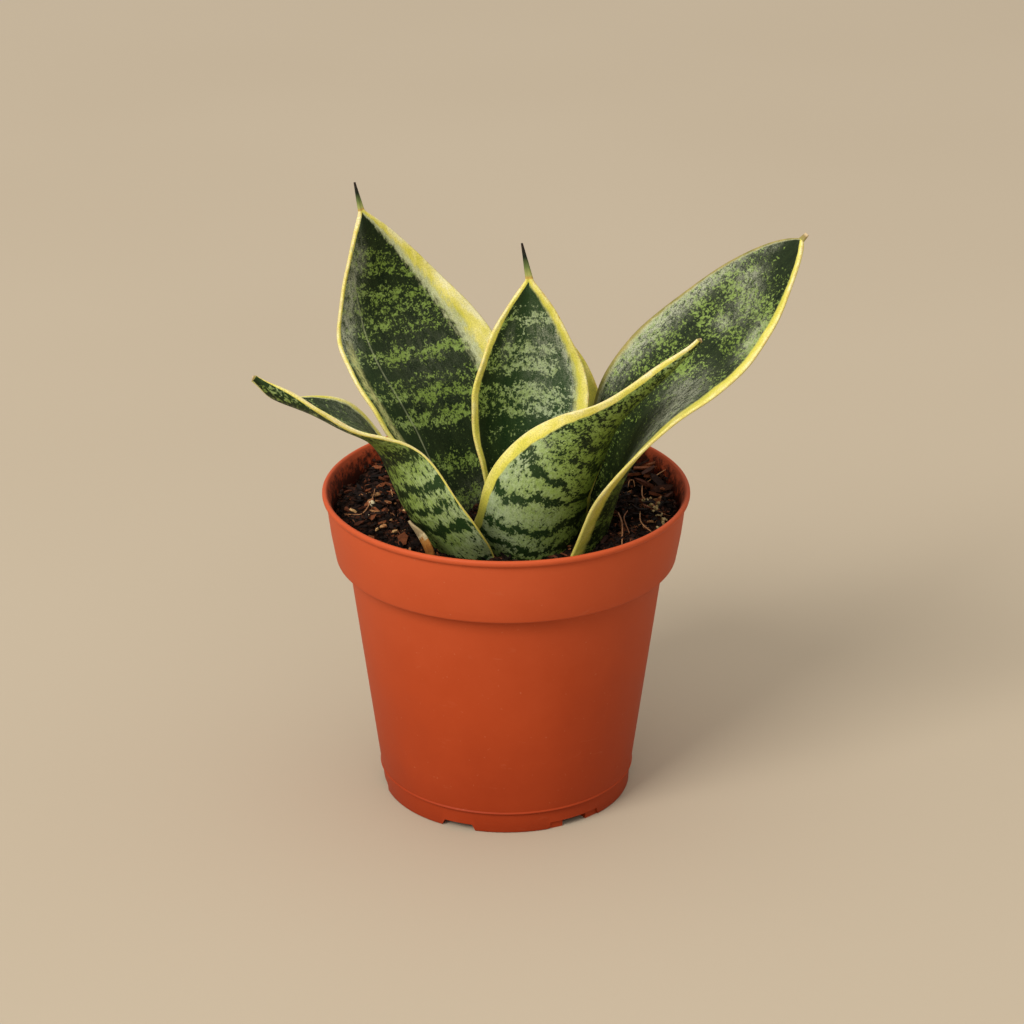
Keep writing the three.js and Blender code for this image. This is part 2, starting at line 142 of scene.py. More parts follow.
MARKINGS = {
    "leaf_back_left": dict(
        low=[1.3, 1.3, 1.3, 1.0, 1.0], high=[5, 6, 6.4, 4.8, 1.5], soft=(0.25, 0.75),
        stripe=(26, 80, 2.2, 5.6), crease=(48, 84, -0.46, -0.5),
        inner=dict(
            level=0.40, wash=(0.6, 0.12, 0.1),
            bands=[(105, 99, 94, 1.5, 0.08), (101, 95, 89, 1.9, 0.11), (98, 91.5, 85, 1.3, -0.08),
                   (94, 87.5, 81, 2.4, 0.11), (88.5, 82.5, 76, 1.5, 0.09), (83, 77, 70.5, 2.0, 0.10),
                   (78, 72, 65.5, 1.8, -0.08), (74, 68, 61.5, 2.1, 0.16), (69.5, 63.5, 57, 1.8, -0.10),
                   (65, 59.5, 53, 1.1, 0.07), (61.5, 55.5, 49, 2.0, 0.15), (57.5, 51.5, 45, 1.2, -0.08),
                   (54, 48, 41, 2.3, 0.16), (47, 41, 34, 3.4, -0.12), (40, 34, 28, 2.4, 0.12),
                   (34, 28.5, 23, 2.0, -0.08), (28, 23, 18, 2.4, 0.12)],
            spots=[(108, 0, 5, 1.0, -0.12), (60, -0.7, 22, 0.2, -0.06)],
            haze=[(94, -0.78, 11, 0.22, 1.0), (82, -0.88, 8, 0.2, 0.9), (100, -0.45, 5, 0.2, 0.5),
                  (65, 0.2, 12, 0.5, 0.10), (22, 0.2, 6, 0.6, 0.3)])),
    "leaf_centre": dict(
        low=[1.3, 1.4, 1.8, 2.0, 0.9], high=[3.4, 3.6, 3.6, 2.9, 1.6], soft=(0.2, 0.6), ripe=0.35,
        inner=dict(
            level=0.42, wash=(0.1, 0.75, 0.9),
            bands=[(79, 78, 77, 1.9, 0.12), (74, 74, 74, 1.4, -0.06), (69, 69, 69, 2.0, 0.10),
                   (65, 64.5, 64, 2.1, 0.12), (61, 60.5, 60, 1.3, -0.12), (57, 56, 55, 2.4, 0.13),
                   (52, 51, 50, 1.5, 0.12), (48, 47.5, 47, 1.6, -0.12), (40, 40, 40, 4, -0.1)],
            spots=[(84, 0, 4.5, 1.0, -0.16), (60, -0.55, 25, 0.25, -0.03), (73, 0.42, 4, 0.2, -0.10),
                   (62, 0.62, 9, 0.09, -0.22), (60, 0.15, 16, 0.3, 0.04)],
            haze=[(66, 0.22, 14, 0.3, 0.35), (70, 0.74, 9, 0.13, 1.0), (73, 0.4, 4, 0.18, 0.45),
                  (57, 0.78, 8, 0.1, 0.45), (71, -0.5, 6, 0.12, 0.3)])),
    "leaf_back": dict(low=[3, 5, 6, 5, 2], high=[5, 7, 8, 7, 3], soft=(0.15, 0.15), ripe=1.0),
    "leaf_right": dict(
        low=[0.8, 1.2, 1.6, 0.9, 0.9], high=[2.4, 3.6, 4.0, 3.0, 1.3], soft=(0.9, 0.25),
        dull=1.0, ripe=0.3, ripple=0.1,
        inner=dict(
            level=0.44, wash=(0.3, 0.08, 0.25),
            bands=[(101, 101, 101, 4, 0.08), (97, 96, 96, 1.4, -0.04), (92, 91, 91, 2.4, 0.05),
                   (84, 83, 83, 2.6, -0.09), (76, 76, 76, 2.4, 0.05), (67, 66, 66, 2.0, 0.06)],
            spots=[(118, 0, 6, 1.0, -0.14), (108, 0.2, 3, 0.5, -0.06), (73, -0.05, 3, 0.2, 0.2),
                   (86, -0.6, 8, 0.3, 0.05), (70, 0.45, 8, 0.3, -0.12), (50, 0, 16, 1.0, -0.06),
                   (30, 0.5, 26, 0.7, -0.14), (74, -0.92, 16, 0.12, 0.12), (93, 0.7, 7, 0.16, 0.15)],
            haze=[(106, -0.35, 4.5, 0.3, 0.7), (99, 0.05, 6, 0.35, 0.45), (91, -0.1, 3, 0.16, 0.6),
                  (74, -0.88, 18, 0.2, 1.1), (99, -0.88, 12, 0.14, 0.8), (70, 0.42, 7, 0.3, 0.8),
                  (93, 0.68, 6, 0.16, 0.9), (61, 0.6, 9, 0.22, 0.8), (45, 0.75, 8, 0.2, 0.5),
                  (116, -0.7, 3, 0.2, 0.4)]),
        outer=dict(
            level=0.43, wash=(0, 0, 0.1),
            bands=[(18, 18, 18, 2, 0.1), (28, 28, 28, 2, 0.1), (40, 40, 40, 3, 0.08),
                   (56, 56, 56, 3, 0.08)])),
    "leaf_front": dict(
        low=[2.2, 2.2, 2.2, 1.4, 0.5], high=[2.8, 3.0, 3.6, 1.7, 0.8], soft=(0.12, 0.10),
        outer=dict(
            level=0.63, wash=(-0.1, 0.55, 1.0), cells=(2.3, 1.6),
            tint=[(72, 0, 22, 2, -0.75), (14, 0, 6, 2, -0.3)],
            bands=[(24, 20, 22.5, 1.4, -0.25), (18, 16.5, 18, 0.9, -0.18), (31.5, 27.3, 29.2, 1.5, -0.25),
                   (42, 38.2, 35.6, 1.4, -0.25), (44, 44.5, 49, 1.2, -0.22), (56, 53, 52, 1.6, -0.14),
                   (62, 60, 58, 1.5, -0.12), (35, 33, 33, 2.2, 0.08), (48, 41, 41, 1.4, 0.06)],
            spots=[(62, 0, 12, 1.2, -0.08), (84, 0, 12, 1.5, -0.12), (30, -0.75, 30, 0.35, -0.07),
                   (46, 0.72, 3, 0.15, -0.1), (51, 0.62, 2.5, 0.2, 0.16)],
            haze=[(51, 0.64, 3, 0.14, 0.25), (33, 0.2, 3, 0.5, 0.15)]),
        inner=dict(level=0.38)),
    "leaf_front_left": dict(
        low=[0.35, 0.35, 0.4, 1.2, 0.1], high=[2.8, 3.0, 3.4, 1.1, 0.5], soft=(0.12, 0.6),
        outer=dict(
            level=0.605, wash=(0.8, 0.3, 0.0), cells=(2.8, 1.1), tint=[(60, -0.5, 10, 1.5, -0.5)],
            bands=[(19, 18.5, 20, 0.9, -0.24), (31, 32.5, 34, 1.5, -0.25), (38, 38, 38, 0.9, -0.20),
                   (43.5, 44, 44.5, 1.3, -0.25), (54, 55, 56, 2.6, -0.18), (25, 25, 25, 1.6, 0.08)],
            spots=[(84, -0.5, 18, 1.5, -0.2), (40, 0.3, 40, 0.4, -0.06)]),
        inner=dict(
            level=0.40, wash=(0.9, 0.5, 0.3),
            spots=[(70, 0.5, 12, 0.6, -0.06), (80, -0.6, 8, 0.4, 0.15)],
            haze=[(80, -0.6, 9, 0.35, 0.75), (68, 0.5, 10, 0.6, 0.3)]),
        crease=(62, 80, -0.05, -0.25)),
}

# ---- Dry scale ----

SCALE = dict(
    spine=[(-20.8, -33.6, 80), (-21.4, -33.8, 86.2), (-23.4, -33, 90.9), (-26.5, -31.5, 95)],
    facing=35, twist=[0, 0, 5], cup=[45, 40, 30],
    width=5.2, root=0.45, peak=0.7, sharp=1.5, taper=1.0, spur=(-0.3, 0.2, 0.5))
SCALE_BLADE = SimpleNamespace(stations=60, spur_stations=6, across=24, middle=0.8, margin=0.6, tip=0.6)

# ---- Soil ----

SOIL_LEVEL = 86.0
SOIL_DIP = dict(x=5, y=-31, depth=6.5, reach_x=28, reach_y=14)
SOIL_LUMPS = dict(waves=9, height=0.45, shortest=11, longest=30)
SOIL_EDGE = 49.0
SOIL_SIDE = [
    [0, 1.5], [33.7, 1.5], [34.6, 2.7], [34.8, 6.7], [35.3, 7.2], [43.9, 73.7], [46.8, 73.7], [47.3, 74.2],
    [48.3, 80.3],
]
SOIL_SIDES = 260
SOIL_RINGS = 70
SOIL_RING_WIDTH = 0.7
SEED = 20

# How many bits are scattered, and those that stand out, each at its own place in millimetres.
SCATTERED = dict(flakes=4200, crumbs=3000, wall_crumbs=700, fibres=80, grains=60, gathered_grains=46)
WALL_BARK = [  # angle about the axis, radius, height, length, tone
    (4, 45.6, 87.6, 6.5, 0.50), (10, 45.9, 88.4, 7.5, 0.42), (15, 45.2, 88.9, 8.5, 0.30),
    (21, 46.1, 88.2, 6.5, 0.66), (25, 45.4, 89.2, 8.0, 0.44), (29, 46.2, 88.7, 7.0, 0.70),
    (33, 45.0, 88.6, 9.0, 0.34), (38, 45.8, 89.0, 7.0, 0.58), (42, 45.2, 88.3, 8.0, 0.30),
    (47, 46.0, 88.6, 6.5, 0.52), (52, 45.4, 88.2, 8.0, 0.40), (58, 45.8, 88.0, 7.0, 0.6),
    (7, 43.0, 87.6, 7.0, 0.62), (18, 42.4, 87.8, 8.0, 0.56), (27, 42.8, 88.0, 7.5, 0.68),
    (36, 42.0, 87.8, 8.0, 0.48), (70, 45.6, 88.2, 7.0, 0.4), (84, 45.4, 88.0, 7.5, 0.5),
]
PLACED_FLAKES = [  # x, y, height, length, tone
    (-27.6, -5.6, 87.6, 3.4, 0.97), (-37.5, -8.5, 87.3, 2.6, 0.84), (-33.0, -12.6, 87.2, 2.2, 0.80),
    (-40.0, 6.5, 87.3, 3.2, 0.82), (-36.7, 1.4, 87.3, 2.4, 0.80), (-34.6, -16.3, 87.2, 2.6, 0.84),
    (-33.8, 0.7, 87.3, 2.0, 0.78), (-31.2, -18.2, 86.6, 2.0, 0.98), (-28.7, -18.2, 86.6, 1.6, 0.95),
    (-36.3, -16.9, 86.6, 1.8, 0.96), (-43.6, -4.6, 87.0, 2.2, 0.97), (-29.0, -23.6, 86.3, 6.2, 0.66),
    (41.9, 24.1, 89.2, 4.0, 0.72), (45.7, 7.8, 88.6, 3.6, 0.74),
]
PLACED_FIBRES = [  # radius, tone, points
    (0.16, 0.75, [(-46, -6.7, 86.8), (-40.9, -7.9, 87.4), (-38.4, 0.5, 88.2), (-37.7, 8.1, 88.4)]),
    (0.30, 0.62, [(31.8, -6.5, 87.2), (32.6, -16.0, 87.6), (32.3, -27.2, 86.2)]),
    (0.22, 0.50, [(34.6, -5.0, 87.2), (33.3, -11.4, 87.5), (34.6, -20.0, 86.6)]),
    (0.20, 0.80, [(38.4, -2.2, 87.3), (37.8, -11.4, 87.6), (38.5, -15.6, 87.4), (40.7, -18.7, 86.7)]),
    (0.18, 0.70, [(35.1, 10.8, 87.6), (35.6, 12.6, 88.8), (36.7, 12.4, 89.0), (37.1, 10.8, 87.6)]),
    (0.20, 0.72, [(39.2, 10.8, 88.2), (39.0, 6.0, 88.0), (39.2, 2.7, 87.8), (40.5, 0.5, 87.4)]),
    (0.15, 0.90, [(40.7, 13.0, 88.2), (43.6, 15.8, 89.3), (46.3, 18.3, 90.0)]),
]
PLACED_GRAINS = [  # x, y, height, radius, tone
    (-38.2, -0.7, 87.4, 1.0, 0.80), (-28.8, -2.9, 87.4, 0.7, 0.55), (-25.4, -12.1, 87.3, 0.45, 0.95),
    (42.8, 0.7, 87.7, 0.8, 0.62),
]

# Colours of the soil, of what lies on it and of the dry scale, by (tone, colour).
SOIL_TONES = [(0.36, (0.002, 0.001, 0.001)), (0.5, (0.010, 0.004, 0.002)), (0.66, (0.050, 0.017, 0.007))]
BARK_TONES = [(0.0, (0.004, 0.002, 0.001)), (0.3, (0.018, 0.007, 0.004)), (0.55, (0.070, 0.020, 0.008)),
              (0.75, (0.20, 0.060, 0.021)), (0.98, (0.60, 0.36, 0.15))]
ROOT_TONES = [(0.1, (0.05, 0.018, 0.008)), (0.5, (0.20, 0.075, 0.028)), (0.9, (0.50, 0.25, 0.11))]
GRAIN_TONES = [(0.1, (0.18, 0.10, 0.035)), (0.5, (0.40, 0.29, 0.12)), (0.9, (0.74, 0.66, 0.44))]
SCALE_TONES = [(0.3, (0.08, 0.03, 0.008)), (0.55, (0.30, 0.11, 0.020)), (0.66, (0.42, 0.19, 0.045)),
               (0.71, (0.60, 0.49, 0.27)), (0.78, (0.30, 0.22, 0.11)), (1.0, (0.36, 0.27, 0.15))]

# ---- Stage ----

FLOOR_CORNERS = [(-6000, -3000, 0), (6000, -3000, 0), (6000, 9000, 0), (-6000, 9000, 0)]
FLOOR_TONES = [(0.3, (0.435, 0.360, 0.262)), (0.7, (0.455, 0.380, 0.280))]
LIGHTS = {
    "key": dict(place=(-2600, -2900, 3300), size=2300, power=208.0, colour=(1.0, 0.975, 0.925)),
    "front": dict(place=(200, -3000, 1600), size=2000, power=8.0, colour=(1.0, 0.98, 0.95)),
}
LIGHT_AIM = (0, 0, 80)
SKY_TONES = [(0.0, (0.06, 0.05, 0.04)), (0.5, (0.22, 0.205, 0.19)), (1.0, (1.0, 0.965, 0.91))]
SKY_STRENGTH = 1.1


# ---- Mesh helpers ----

def mesh_object(name, points, faces, smooth=True):
    """A piece from points in millimetres."""
    mesh = bpy.data.meshes.new(name)
    mesh.from_pydata([tuple(c * MM for c in p) for p in points], [], faces)
    mesh.validate()
    mesh.polygons.foreach_set("use_smooth", [smooth] * len(mesh.polygons))
    mesh.update()
    piece = bpy.data.objects.new(name, mesh)
    bpy.context.scene.collection.objects.link(piece)
    return piece


def add_attribute(piece, name, values):
    """A number, or a vector, for each point of a piece."""
    values = np.asarray(values, dtype=float).ravel()
    vector = len(values) == 3 * len(piece.data.vertices)
    layer = piece.data.attributes.new(name, "FLOAT_VECTOR" if vector else "FLOAT", "POINT")
    layer.data.foreach_set("vector" if vector else "value", values)


def catmull(values, at):
    """Smooth values at at, from 0 to 1, on the curve through evenly spaced values."""
    known = np.asarray(values, dtype=float)
    known = known.reshape(len(known), -1)
    last = len(known) - 1
    padded = np.vstack([2 * known[0] - known[1], known, 2 * known[-1] - known[-2]])
    x = np.clip(np.asarray(at, dtype=float), 0, 1) * last
    i = np.minimum(x.astype(int), last - 1)
    f = (x - i)[:, None]
    p0, p1, p2, p3 = padded[i], padded[i + 1], padded[i + 2], padded[i + 3]
    slope, bend, twirl = p2 - p0, 2 * p0 - 5 * p1 + 4 * p2 - p3, 3 * p1 - p0 - 3 * p2 + p3
    found = p1 + 0.5 * f * (slope + f * (bend + f * twirl))
    return found if found.shape[1] > 1 else found[:, 0]


def unit(vectors):
    """Vectors drawn to length 1."""
    return vectors / np.linalg.norm(vectors, axis=-1, keepdims=True)


def lathe(outline, sides):
    """Points and faces of a body turned about the Z axis, whose outline starts and ends on it."""
    points, faces, rows = [], [], []
    for radius, height in outline:
        if radius == 0:
            rows.append([len(points)] * sides)
            points.append((0, 0, height))
            continue
        rows.append(list(range(len(points), len(points) + sides)))
        for i in range(sides):
            angle = 2 * math.pi * i / sides
            points.append((radius * math.cos(angle), radius * math.sin(angle), height))
    for low, high in zip(rows, rows[1:]):
        for i in range(sides):
            j = (i + 1) % sides
            corners = [low[i], low[j], high[j], high[i]]
            faces.append(list(dict.fromkeys(corners)))
    return points, faces


# ---- Leaves ----

def half_width(leaf, s, blade):
    """Half the blade's width at s, from 0 at the base to 1 at the end of the blade."""
    rise = np.sin(np.pi / 2 * np.minimum(s / leaf["peak"], 1)) ** 1.3
    fall = np.maximum(0, (s - leaf["peak"]) / (1 - leaf["peak"]))
    growing = leaf["root"] + (1 - leaf["root"]) * rise
    narrowing = (1 - fall ** leaf["sharp"]) ** leaf["taper"]
    share = np.where(s < leaf["peak"], growing, narrowing)
    return np.hypot(leaf["width"] / 2 * share, blade.tip)


def leaf_stations(leaf, blade):
    """The midrib's points, directions and widths, at even steps and then along the spur."""
    fine = np.linspace(0, 1, 2001)
    route = catmull(leaf["spine"], fine)
    length = np.concatenate([[0], np.cumsum(np.linalg.norm(np.diff(route, axis=0), axis=1))])
    s = np.linspace(0, 1, blade.stations + 1)
    centre = catmull(leaf["spine"], np.interp(s * length[-1], length, fine))
    along = unit(np.gradient(centre, axis=0))
    width = half_width(leaf, s, blade)
    spur = np.array(leaf["spur"], dtype=float)
    share = np.linspace(0, 1, blade.spur_stations + 1)[1:, None]
    centre = np.vstack([centre, centre[-1] + spur * share])
    along = np.vstack([along, unit(along[-1] * (1 - share) + unit(spur) * share)])
    narrowing = 0.75 if np.linalg.norm(spur) > 5 else 0.35  # a short, withered spur stays blunt
    width = np.concatenate([width, blade.tip * (1 - narrowing * share[:, 0])])
    spur_share = np.concatenate([np.zeros(len(s)), share[:, 0]])
    s = np.concatenate([s, np.ones(len(share))])
    run = s * length[-1] + spur_share * np.linalg.norm(spur)
    return SimpleNamespace(s=s, centre=centre, along=along, width=width, spur=spur_share, run=run)


def leaf_directions(leaf, stations):
    """The directions across the blade and towards its inner face, at each station."""
    facing = math.radians(leaf["facing"])
    inward = np.array([math.cos(facing), math.sin(facing), 0])
    side = np.cross(stations.along[0], inward)
    across, inner = [], []
    twist = np.radians(catmull(leaf["twist"], stations.s))
    for along, turn in zip(stations.along, twist):
        side = unit(side - side.dot(along) * along)
        normal = np.cross(side, along)
        across.append(side * math.cos(turn) + normal * math.sin(turn))
        inner.append(normal * math.cos(turn) - side * math.sin(turn))
    return np.array(across), np.array(inner)


def section_steps(count):
    """Places across the blade from -1 to 1, closer together at the margins."""
    even = np.linspace(-1, 1, count + 1)
    return 0.45 * even + 0.55 * np.sin(np.pi / 2 * even)


def leaf_blade(name, leaf, blade, ripple, offset):
    """A blade with round margins, whose attributes say where on the leaf each point lies."""
    stations = leaf_stations(leaf, blade)
    across, inner = leaf_directions(leaf, stations)
    v = section_steps(blade.across)[None, :]
    s, width, run = stations.s[:, None], stations.width[:, None], stations.run[:, None]
    cup = np.radians(catmull(leaf["cup"], stations.s) * (1 - 0.7 * stations.spur))[:, None]
    bend = width / cup
    middle = np.minimum(blade.middle, 0.5 + 0.45 * width)
    margin = np.minimum(blade.margin, middle)
    thick = (margin + (middle - margin) * (1 - v * v)) / 2
    round_from = 1 - np.minimum(0.9, margin / 2 / width)
    past = np.clip((np.abs(v) - round_from) / (1 - round_from), 0, 1)
    thick = thick * np.sqrt(1 - past ** 2)
    waves = np.sin(run * 0.23 + 2.1 * v + offset) + 0.6 * np.sin(run * 0.41 - 1.3 * v + 2 * offset)
    fade = np.clip(s * 4, 0, 1) * np.clip((1 - s) * 6, 0, 1)
    wave = ripple * np.abs(v) ** 2.5 * waves * fade
    angle = v * cup
    rows = []
    for face in (1, -1):
        rise = bend * (1 - np.cos(angle)) + (face * thick + wave) * np.cos(angle)
        reach = bend * np.sin(angle) - (face * thick + wave) * np.sin(angle)
        offsets = inner[:, None] * rise[..., None] + across[:, None] * reach[..., None]
        rows.append(stations.centre[:, None] + offsets)
    front, back = rows
    loop = np.concatenate([front, back[:, -2:0:-1]], axis=1)
    count, ring = loop.shape[:2]
    faces = []
    for i in range(count - 1):
        for j in range(ring):
            k = (j + 1) % ring
            faces.append((i * ring + j, i * ring + k, (i + 1) * ring + k, (i + 1) * ring + j))
    faces.append(tuple(range(ring))[::-1])
    faces.append(tuple((count - 1) * ring + j for j in range(ring)))
    piece = mesh_object(name, loop.reshape(-1, 3), faces)
    spread = np.concatenate([v, v[:, -2:0:-1]], axis=1) * np.ones_like(s)
    side = np.concatenate([np.ones(blade.across + 1), -np.ones(blade.across - 1)]) * np.ones_like(s)
    flat = 0 * spread
    add_attribute(piece, "place", np.stack([spread * width, run + flat, offset * 40 + side * 7], axis=-1))
    return piece, SimpleNamespace(s=s + flat, v=spread, side=side, run=run + flat, width=width + flat,
                                  spur=stations.spur[:, None] + flat)


def gathered(marks, run, v):
    """The sum of soft spots, each (run, place across, half its length, half its breadth, how much)."""
    total = 0 * run
    for at, across, reach, breadth, amount in marks:
        total = total + amount * np.exp(-((run - at) / reach) ** 2 - ((v - across) / breadth) ** 2)
    return total


def wavered(run, reach, offset):
    """The run along a leaf with waves in it, so that the edges of the bands wander."""
    slow = np.sin(0.5 * reach + 0.17 * run + offset) + 0.8 * np.sin(1.05 * reach - 0.31 * run + 2 * offset)
    return run + 0.7 * slow + 0.4 * np.sin(2.3 * reach + 0.62 * run + 3 * offset)


def banded(bands, run, v):
    """The sum of bands that curve across the blade."""
    total = 0 * run
    for low, middle, high, reach, amount in bands:
        line = middle + (high - low) / 2 * v + ((high + low) / 2 - middle) * v * v
        total = total + amount * np.exp(-((run - line) / reach) ** 4)
    return total


def face_marks(face, at, offset):
    """How pale and how grey one face of a leaf is, where painted sheen lies on it, and the grid of its
    specks.
    """
    face = {**PLAIN, **face}
    v, run, width = at.v, at.run, at.width
    bands = banded(face["bands"], wavered(run, v * width, offset), v)
    wash = catmull(face["wash"], (v.ravel() + 1) / 2).reshape(v.shape)
    across, along = face["cells"]
    return dict(
        level=face["level"] + bands + gathered(face["spots"], run, v),
        wash=wash + gathered(face["tint"], run, v),
        haze=gathered(face["haze"], run, v),
        cells=np.stack([v * width * across, run * along, 40 * offset + 0 * v], -1))


def fold_distance(crease, at):
    """How far each point lies from a fold line, in millimetres."""
    if crease is None:
        return np.full(at.v.shape, NO_FOLD)
    first, last, start, end = crease
    along = np.clip((at.run - first) / (last - first), 0, 1)
    past = np.maximum(0, np.maximum(first - at.run, at.run - last))
    return (at.v - start - (end - start) * along) * at.width + past * 0.2


def stripe_share(stripe, at):
    """How much of a stripe there is at each point, with soft ends and sides."""
    if stripe is None:
        return 0 * at.v
    first, last, nearest, furthest = stripe
    from_low = (1 + at.v) * at.width
    ends = np.clip((at.run - first) / 6, 0, 1) * np.clip((last - at.run) / 6, 0, 1)
    sides = np.clip((from_low - nearest) / 0.7, 0, 1) * np.clip((furthest - from_low) / 0.9, 0, 1)
    return ends * sides


def leaf_marks(leaf, marks, at, offset):
    """What the material reads at each point of a leaf, by the names in LEAF_MARKS, and its cells."""
    s, v, width = at.s, at.v, at.width
    low, high = (catmull(marks[side], s[:, 0])[:, None] for side in ("low", "high"))
    from_low, from_high = (1 + v) * width, (1 - v) * width
    inside = at.side > 0
    inner, outer = (face_marks(marks[face], at, offset) for face in ("inner", "outer"))
    dark_tip = 0.2 * np.clip((s - 0.9) / 0.1, 0, 1) ** 2
    return dict(
        rim=np.minimum(from_low / low, from_high / high),
        edge=np.minimum(from_low, from_high),
        soft=np.where(v < 0, *marks["soft"]),
        level=np.where(inside, inner["level"], outer["level"]) - dark_tip,
        wash=np.where(inside, inner["wash"], outer["wash"]),
        haze=np.where(inside, inner["haze"], outer["haze"]),
        cells=np.where(inside[..., None], inner["cells"], outer["cells"]),
        crease=np.where(inside, fold_distance(marks["crease"], at), NO_FOLD),
        stripe=inside * stripe_share(marks["stripe"], at),
        spur=at.spur,
        dry=np.full(v.shape, 1.0 if leaf["spur"][2] < 5 else 0.0),
        dull=np.where(v < 0, marks["dull"], 0.0),
        ripe=np.clip(1.3 - at.run / 40, marks["ripe"], 1))


def make_leaf(name, index):
    """One leaf, whose markings are kept as attributes."""
    leaf, marks = LEAVES[name], {**USUAL, **MARKINGS[name]}
    piece, at = leaf_blade(name + "_blade", leaf, BLADE, marks["ripple"], index + 1.0)
    for mark, values in leaf_marks(leaf, marks, at, index).items():
        add_attribute(piece, mark, values)
    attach(piece, "root")
    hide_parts(name)
    return piece


# ---- Shader nodes ----

def feed(socket, value):
    """Links a wire to an input, or sets the input to a constant."""
    if isinstance(value, Wire):
        socket.id_data.links.new(value.socket, socket)
    else:
        socket.default_value = (*value, 1) if socket.type == "RGBA" else value


def make(tree, kind, *inputs, **properties):
    """A node with its properties set and its first inputs fed."""
    made = tree.nodes.new("ShaderNode" + kind)
    for key, value in properties.items():
        setattr(made, key, value)
    for socket, value in zip(made.inputs, inputs):
        feed(socket, value)
    return made


def wire(tree, kind, *inputs, output=0, **properties):
    """What one output of a new node gives."""
    return Wire(make(tree, kind, *inputs, **properties).outputs[output])


class Wire:
    """What a node gives, with short ways to make the nodes that it goes into."""

    def __init__(self, socket):
        self.socket = socket
        self.tree = socket.id_data

    def __add__(self, other):
        return wire(self.tree, "Math", self, other, operation="ADD")

    def __mul__(self, other):
        return wire(self.tree, "Math", self, other, operation="MULTIPLY")

    def __rsub__(self, other):
        return wire(self.tree, "Math", other, self, operation="SUBTRACT")

    def __abs__(self):
        return wire(self.tree, "Math", self, operation="ABSOLUTE")

    def centred(self, gain):
        """A value from 0 to 1 as a deviation either way from 0."""
        return (self + -0.5) * gain

    def stretched(self, *scale):
        """A place multiplied by a scale along each of its axes."""
        return wire(self.tree, "VectorMath", self, scale, operation="MULTIPLY")

    def noise(self, scale, detail=2.0, roughness=0.5, distortion=0.0):
        """Noise at a place, mostly from 0.3 to 0.7."""
        made = make(self.tree, "TexNoise", self)
        values = dict(Scale=scale, Detail=detail, Roughness=roughness, Distortion=distortion)
        for name, value in values.items():
            made.inputs[name].default_value = value
        return Wire(made.outputs[0])

    def ramp(self, *stops):
        """A colour or grey that changes with a value, by (value, colour) stops."""
        made = make(self.tree, "ValToRGB", self)
        bars = made.color_ramp.elements
        while len(bars) < len(stops):
            bars.new(0.5)
        for bar, (place, colour) in zip(bars, stops):
            bar.position = place
            bar.color = (*colour, 1) if isinstance(colour, tuple) else (colour, colour, colour, 1)
        return Wire(made.outputs[0])

    def mixed(self, share, other, blend="MIX"):
        """A colour with a share of another one mixed in."""
        made = make(self.tree, "Mix", share, data_type="RGBA", blend_type=blend)
        feed(made.inputs[6], self)
        feed(made.inputs[7], other)
        return Wire(made.outputs[2])


def new_material(name):
    """A material and its node tree."""
    material = bpy.data.materials.new(name)
    material.use_nodes = True
    return material, material.node_tree


def attribute(tree, name, output="Fac"):
    return wire(tree, "Attribute", output=output, attribute_name=name)


def object_place(tree):
    return wire(tree, "TexCoord", output="Object")


def surface(tree, colour, roughness, specular=0.5, height=None, strength=0.0, depth=0.0):
    """Sets a material's look and its fine relief, up to a depth in metres."""
    shader = tree.nodes["Principled BSDF"]
    feed(shader.inputs["Base Color"], colour)
    feed(shader.inputs["Roughness"], roughness)
    shader.inputs["Specular IOR Level"].default_value = specular
    if height:
        relief = make(tree, "Bump")
        relief.inputs["Strength"].default_value = strength
        relief.inputs["Distance"].default_value = depth
        feed(relief.inputs["Height"], height)
        tree.links.new(relief.outputs["Normal"], shader.inputs["Normal"])


# ---- Materials ----

def pattern(leaf, across, along, detail=2.0, roughness=0.5):
    """Noise on a leaf, with so many waves to a millimetre across and along the blade."""
    return leaf.place.stretched(across, along, 1.0).noise(1.0, detail, roughness)


def leaf_green(leaf):
    """Dark green, with pale jigsaw specks that gather in cross bands, and a painted grey sheen in place of
    reflection.
    """
    specks = make(leaf.tree, "TexVoronoi", leaf.cells)
    specks.inputs["Scale"].default_value = 1.0
    draw = make(leaf.tree, "SeparateColor", Wire(specks.outputs["Color"]))
    crowded = Wire(specks.outputs["Position"]).stretched(0.10, 0.2, 1.0).noise(1.0, 3.0, 0.7)
    jigsaw = leaf.cells.stretched(0.34, 0.42, 1.0).noise(1.0, 5.0, 0.72)
    lone = Wire(draw.outputs[0]).centred(0.16)
    total = leaf.level + crowded.centred(0.8) + jigsaw.centred(1.15) + lone

    shade = pattern(leaf, 0.12, 0.12, 3.0).centred(0.9)
    tone = leaf.wash + shade + Wire(draw.outputs[1]).centred(0.3)
    light = tone.ramp((0.0, (0.185, 0.275, 0.045)), (0.35, (0.260, 0.365, 0.085)),
                      (0.7, (0.350, 0.450, 0.185)), (1.0, (0.450, 0.540, 0.300)))
    light = light.mixed(1.0, total.ramp((0.5, 0.46), (0.58, 0.8), (0.75, 1.0)), "MULTIPLY")
    ground = pattern(leaf, 0.35, 0.07, 5.0, 0.65)
    dark = ground.ramp((0.34, (0.0045, 0.012, 0.0022)), (0.66, (0.018, 0.029, 0.0075)))
    dark = dark.mixed(leaf.wash.ramp((0.2, 0.0), (0.9, 0.7)), (0.026, 0.068, 0.016))
    dots = pattern(leaf, 2.2, 1.8, 2.0, 0.6).ramp((0.56, 0.0), (0.68, 0.4))
    dark = dark.mixed(dots, (0.045, 0.080, 0.025))
    green = dark.mixed(total.ramp((0.48, 0.0), (0.52, 1.0)), light)
    # Painted sheen: grey patches mixed into the colour where the leaf would show a reflection.
    sheen_share = leaf.haze * leaf.mottle.ramp((0.44, 0.08), (0.56, 1.0))
    return green.mixed(sheen_share.ramp((0.0, 0.0), (1.0, 0.85)), (0.46, 0.48, 0.34))


